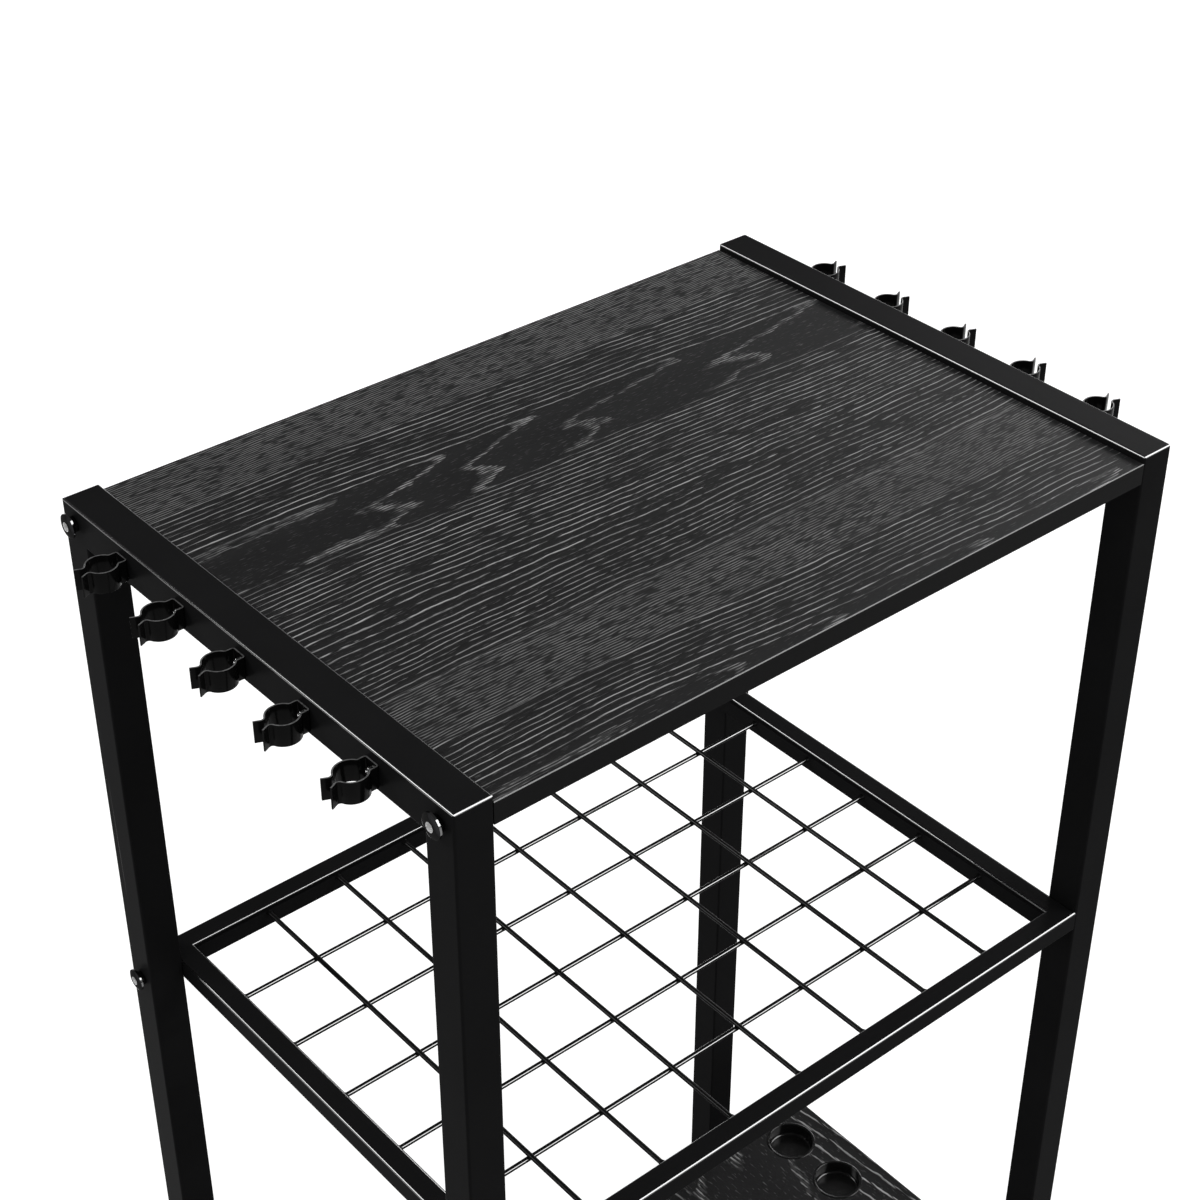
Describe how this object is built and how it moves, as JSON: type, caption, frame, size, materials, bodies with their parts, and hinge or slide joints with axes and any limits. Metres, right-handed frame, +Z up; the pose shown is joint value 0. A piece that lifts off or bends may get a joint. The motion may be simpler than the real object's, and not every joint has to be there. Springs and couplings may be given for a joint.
{
  "type": "rod rack",
  "caption": "Free-standing rod rack: square-tube end frames, wood-grain top, wire mesh shelf, spring clips along the top and cups in the lower board, on levelling feet.",
  "frame": {"origin": "on the floor, under the middle of the rack", "axes": "+Z up, +X along the rack's long side, -Y towards the front"},
  "size_m": [0.7, 0.382, 0.95],
  "materials": {
    "black_tube": "smooth black powder coat, semi-gloss",
    "black_wire": "black coated wire, semi-gloss",
    "black_wood": "black oak-grain board, satin, paler pores",
    "black_spring": "gloss black coated spring steel",
    "dark_chrome": "polished",
    "bright_screw": "polished",
    "zinc_steel": "zinc plated, satin",
    "brass": "machined",
    "cup_plastic": "gloss black",
    "plug_plastic": "moulded, matt black",
    "pad_rubber": "moulded, matt black"
  },
  "bodies": {
    "rack": {"left_front_post": "black_tube", "left_back_post": "black_tube", "right_front_post": "black_tube", "right_back_post": "black_tube", "left_top_rail": "black_tube", "left_bottom_rail": "black_tube", "right_top_rail": "black_tube", "right_bottom_rail": "black_tube", "top_board": "black_wood", "bottom_board": "black_wood", "shelf_front_rail": "black_tube", "shelf_back_rail": "black_tube", "shelf_left_rail": "black_tube", "shelf_right_rail": "black_tube", "shelf_front_strip": "black_tube", "shelf_back_strip": "black_tube", "shelf_left_strip": "black_tube", "shelf_right_strip": "black_tube", "shelf_mesh": "black_wire", "rod_clip_left_1": "black_spring", "rod_clip_left_2": "black_spring", "rod_clip_left_3": "black_spring", "rod_clip_left_4": "black_spring", "rod_clip_left_5": "black_spring", "rod_clip_right_1": "black_spring", "rod_clip_right_2": "black_spring", "rod_clip_right_3": "black_spring", "rod_clip_right_4": "black_spring", "rod_clip_right_5": "black_spring", "rod_cup_left_1": "cup_plastic", "rod_cup_left_2": "cup_plastic", "rod_cup_left_3": "cup_plastic", "rod_cup_left_4": "cup_plastic", "rod_cup_left_5": "cup_plastic", "rod_cup_right_1": "cup_plastic", "rod_cup_right_2": "cup_plastic", "rod_cup_right_3": "cup_plastic", "rod_cup_right_4": "cup_plastic", "rod_cup_right_5": "cup_plastic", "clip_screws": "bright_screw", "top_bolts": "dark_chrome", "shelf_bolts": "dark_chrome", "barrel_nuts": "zinc_steel", "rivet_nuts": "zinc_steel", "board_screws": "zinc_steel", "left_front_plug": "plug_plastic", "left_back_plug": "plug_plastic", "right_front_plug": "plug_plastic", "right_back_plug": "plug_plastic", "threaded_inserts": "brass"},
    "left_front_foot": {"left_front_pad": "pad_rubber"},
    "left_front_screw": {"left_front_stem": "zinc_steel"},
    "left_back_foot": {"left_back_pad": "pad_rubber"},
    "left_back_screw": {"left_back_stem": "zinc_steel"},
    "right_front_foot": {"right_front_pad": "pad_rubber"},
    "right_front_screw": {"right_front_stem": "zinc_steel"},
    "right_back_foot": {"right_back_pad": "pad_rubber"},
    "right_back_screw": {"right_back_stem": "zinc_steel"}
  },
  "joints": [
    {"name": "left_front_level", "type": "slide", "parent": "rack", "child": "left_front_foot", "axis": [0, 0, -1], "range_m": [0, 0.01]},
    {"name": "left_front_turn", "type": "hinge", "parent": "left_front_foot", "child": "left_front_screw", "pos_m": [-0.2625, -0.1785, 0], "axis": [0, 0, -1], "range_deg": [0, 2880]},
    {"name": "left_back_level", "type": "slide", "parent": "rack", "child": "left_back_foot", "axis": [0, 0, -1], "range_m": [0, 0.01]},
    {"name": "left_back_turn", "type": "hinge", "parent": "left_back_foot", "child": "left_back_screw", "pos_m": [-0.2625, 0.1785, 0], "axis": [0, 0, -1], "range_deg": [0, 2880]},
    {"name": "right_front_level", "type": "slide", "parent": "rack", "child": "right_front_foot", "axis": [0, 0, -1], "range_m": [0, 0.01]},
    {"name": "right_front_turn", "type": "hinge", "parent": "right_front_foot", "child": "right_front_screw", "pos_m": [0.2625, -0.1785, 0], "axis": [0, 0, -1], "range_deg": [0, 2880]},
    {"name": "right_back_level", "type": "slide", "parent": "rack", "child": "right_back_foot", "axis": [0, 0, -1], "range_m": [0, 0.01]},
    {"name": "right_back_turn", "type": "hinge", "parent": "right_back_foot", "child": "right_back_screw", "pos_m": [0.2625, 0.1785, 0], "axis": [0, 0, -1], "range_deg": [0, 2880]}
  ],
  "couplings": [
    {"joint": "left_front_turn", "follows": "left_front_level", "rad_per_m": 5026.5},
    {"joint": "left_back_turn", "follows": "left_back_level", "rad_per_m": 5026.5},
    {"joint": "right_front_turn", "follows": "right_front_level", "rad_per_m": 5026.5},
    {"joint": "right_back_turn", "follows": "right_back_level", "rad_per_m": 5026.5}
  ]
}
